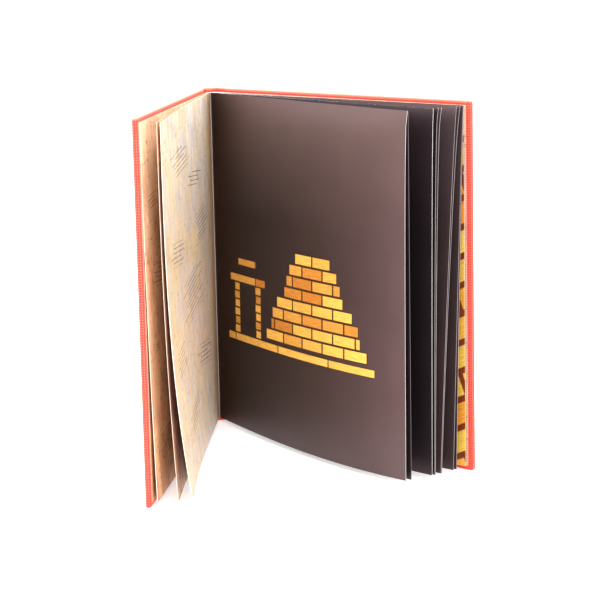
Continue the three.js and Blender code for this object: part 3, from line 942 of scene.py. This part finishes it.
def leaf_sizes(root, tail, head, twist, first, last, looks):
    """The tree's inputs. Tail and head are (heading, bend) in radians."""
    left_face, right_face, edge = looks
    return {
        "Root": (*root, LEAF_FOOT),
        "Length": LEAF_LENGTH,
        "Thickness": LEAF_THICKNESS,
        "Height": LEAF_HEAD - LEAF_FOOT,
        "Columns": LEAF_COLUMNS,
        "Rows": LEAF_ROWS,
        "Tail heading": tail[0],
        "Tail bend": tail[1],
        "Head heading": head[0],
        "Head bend": head[1],
        "Twist": float(twist),
        "From": first * LEAF_LENGTH / LEAF_COLUMNS,
        "To": last * LEAF_LENGTH / LEAF_COLUMNS,
        "Seam": GUTTER_COLUMNS * LEAF_LENGTH / LEAF_COLUMNS,
        "Left face": left_face,
        "Right face": right_face,
        "Edge": edge,
    }


# A leaf's share of its cover's turn.
def even_rise(share):
    """The t whose w is this share."""
    share = min(max(share, 0.0), 1.0)
    return 0.5 - math.sin(math.asin(1 - 2 * share) / 3)


LEAST_WEIGHT = 0.05  # a leaf's weight: this little at its root, and 1 more at its fore-edge
SEAM_WEIGHT = 30.0  # the strip's weight where it meets its leaf, and 1 at the root
AT_END = 0.001  # this close to an end, as a share of the leaf, is at it


def blend_evenly(piece, points, rises, weights):
    points, rises, weights = np.array(points), np.array(rises), np.array(weights)
    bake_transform(piece)


def vertex_places(piece):
    """Each vertex of a leaf with its share of the way along and up, from the UV map."""
    mesh = piece.data
    uv = mesh.uv_layers["UVMap"].data
    places = {}
    for loop in mesh.loops:
        u, v = uv[loop.index].uv
        places[loop.vertex_index] = (u / LEAF_LENGTH, v / (LEAF_HEAD - LEAF_FOOT))
    return [(mesh.vertices[i].co, along, rise) for i, (along, rise) in places.items()]


# A leaf whose heading bends as the square of the way along is matched best, with the wide swing of
# its fore-edge counting most, by a share that grows evenly from CHORD_LESS to CHORD_MORE bends.
CHORD_LESS = -0.4667
CHORD_MORE = 0.4445


def follow_cover(leaf, gutter, body, tail, head, twist):
    """Works out each vertex's share of its cover's turn, for a leaf and for the strip of it at the gutter,
    and bakes each piece's place into its mesh.
    """
    def share(along, rise):
        ends = [(h + b * (CHORD_LESS + CHORD_MORE * along)) / HALF_OPENING for h, b in (tail, head)]
        return abs(ends[1] + (ends[0] - ends[1]) * max(1 - rise, 0) ** twist)

    places = vertex_places(leaf)
    points = [tuple(co) for co, _, _ in places]
    rises = [even_rise(share(along, rise)) for _, along, rise in places]
    weights = [LEAST_WEIGHT + along for _, along, _ in places]
    blend_evenly(leaf, points, rises, weights)

    # The strip's shares: none at its root, and its leaf's where it meets the leaf.
    seam = GUTTER_COLUMNS / LEAF_COLUMNS
    points, rises, weights = [], [], []
    for co, along, rise in vertex_places(gutter):
        at_root = along < AT_END
        if at_root or along > seam - AT_END:
            points.append(tuple(co))
            rises.append(0.0 if at_root else even_rise(share(along, rise)))
            weights.append(1.0 if at_root else SEAM_WEIGHT)
    blend_evenly(gutter, points, rises, weights)


def make_leaf(name, tree, body, root, shape, looks):
    """One leaf in two pieces that meet: the strip at the gutter, and the rest."""
    leaf = made_by(tree, name, leaf_sizes(root, *shape, GUTTER_COLUMNS, LEAF_COLUMNS, looks))
    gutter = made_by(tree, name + "_gutter", leaf_sizes(root, *shape, 0, GUTTER_COLUMNS, looks))
    follow_cover(leaf, gutter, body, *shape)
    return [leaf, gutter]


def flyleaf_root(side):
    """Where a flyleaf leaves the gutter, in the booklet's frame and in its cover's."""
    root = Vector((side * (HALF_BLOCK + SHEET_GAP + LEAF_THICKNESS / 2), HINGE_Y + BLOCK_BACK))
    from_hinge = Vector((side * root.x - HINGE_X, root.y - HINGE_Y))
    return root, Matrix.Rotation(-HALF_OPENING, 2) @ from_hinge


def make_flyleaf(cover, tree, looks):
    """The free half of an endpaper, lifted a little off the pastedown."""
    side = SIDES[cover]
    root, in_cover = flyleaf_root(side)
    fold_width = -PASTEDOWN_INNER - in_cover.x
    *lifts, twist = FLYLEAF_LIFT[cover]
    angles = [math.asin((lift - fold_width) / LEAF_LENGTH) for lift in lifts]
    tail, head = [(side * (HALF_OPENING - angle), 0.0) for angle in angles]
    return make_leaf(cover + "_flyleaf", tree, cover + "_cover", root, (tail, head, twist), looks)


def make_pastedown(cover, material):
    """The half of an endpaper that is pasted to the board."""
    side = SIDES[cover]
    columns = 24
    start = -JOINT_WIDTH - BOARD_EDGE_ROUND
    end = TURN_IN_SHOWN - COVER_REACH
    path = [Vector((-PASTEDOWN_INNER, start + (end - start) * i / columns)) for i in range(columns + 1)]
    bm = ribbon(path, LEAF_FOOT, LEAF_HEAD, LEAF_THICKNESS)
    in_place(bm, side)
    return finish_piece(cover + "_pastedown", bm, material)


def make_endpaper_joint(cover, material):
    """The endpaper between the board and the gutter, with its fold."""
    side = SIDES[cover]
    in_cover = flyleaf_root(side)[1]
    centre = Vector(((-PASTEDOWN_INNER + in_cover.x) / 2, in_cover.y))
    radius = (-PASTEDOWN_INNER - in_cover.x) / 2
    straight = [Vector((-PASTEDOWN_INNER, y * MM)) for y in (-9, -7, -5, -3.5, -2, -1)]
    steps = 8
    angles = [math.pi * i / steps for i in range(steps + 1)]
    fold = [centre + Vector((math.cos(angle), math.sin(angle))) * radius for angle in angles]
    bm = ribbon(straight + fold, LEAF_FOOT, LEAF_HEAD, LEAF_THICKNESS)
    in_place(bm, side)
    return finish_piece(cover + "_endpaper_joint", bm, material)


# The materials of each sheet: left face, right face and edge.
PASTEDOWN_LOOKS = {"front": tan_parchment, "back": beige_parchment}
FLYLEAF_LOOKS = {
    "front": (tan_parchment, tan_parchment, parchment_edge),
    "back": (plank_collage, tan_parchment, tan_edge),
}
LEAF_LOOKS = {
    "left_leaf_2": (parchment, shade_painted_parchment, tan_edge),
    "left_leaf_1": (parchment, sketched_parchment, parchment_edge),
    "right_leaf_1": (picture_page, shade_darkened_page, lit_page_edge),
    "right_leaf_2": (shade_darkened_page, shade_darkened_page, shade_painted_page_edge),
    "right_leaf_3": (shade_darkened_page, shade_darkened_page, lit_page_edge),
    "right_leaf_4": (shade_darkened_page, dark_page, page_edge),
}
OTHER_LEAVES_LOOK = (dark_page, dark_page, page_edge)

# Where a joint starts to turn with its cover and where it has turned fully, from the hinge line.
JOINT_BEND = (0.3 * MM, -JOINT_WIDTH)
FOLD_BEND = (-0.2 * MM, -9 * MM)

leaf_tree = make_leaf_tree()
boards = {cover: make_board(cover + "_board", side) for cover, side in SIDES.items()}
for cover, side in SIDES.items():
    board = boards[cover]
    body = cover + "_cover"
    turn_ins = make_turn_ins(cover + "_turn_ins", side)
    joint = make_joint_cloth(cover + "_joint_cloth", side)
    pastedown = make_pastedown(cover, PASTEDOWN_LOOKS[cover])
    fold = make_endpaper_joint(cover, tan_parchment)
    flyleaf = make_flyleaf(cover, leaf_tree, FLYLEAF_LOOKS[cover])
    for piece in (board, turn_ins, pastedown):
        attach(piece, body)
    for piece, (start, end) in ((joint, JOINT_BEND), (fold, FOLD_BEND)):
        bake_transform(piece)
    for piece in (board, turn_ins, joint):
        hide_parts(cover + "_cover")
    for piece in (pastedown, fold, *flyleaf):
        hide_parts(cover + "_endpaper")

spine = make_spine()
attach(spine, "spine")
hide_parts("spine")

block = make_glued_block()
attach(block, "spine")
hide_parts("pages")
for index, (tail, head, twist) in enumerate(LEAVES):
    left = index < LEFT_LEAVES
    body = "front_cover" if left else "back_cover"
    name = f"left_leaf_{LEFT_LEAVES - index}" if left else f"right_leaf_{index - LEFT_LEAVES + 1}"
    root = Vector(((index + 0.5) * LEAF_SPACING - HALF_BLOCK, HINGE_Y + BLOCK_BACK - BLOCK_DEPTH / 2))
    ends = [(share * HALF_OPENING, math.radians(bend)) for share, bend in (tail, head)]
    looks = LEAF_LOOKS.get(name, OTHER_LEAVES_LOOK)
    for piece in make_leaf(name, leaf_tree, body, root, (*ends, twist), looks):
        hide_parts("pages")
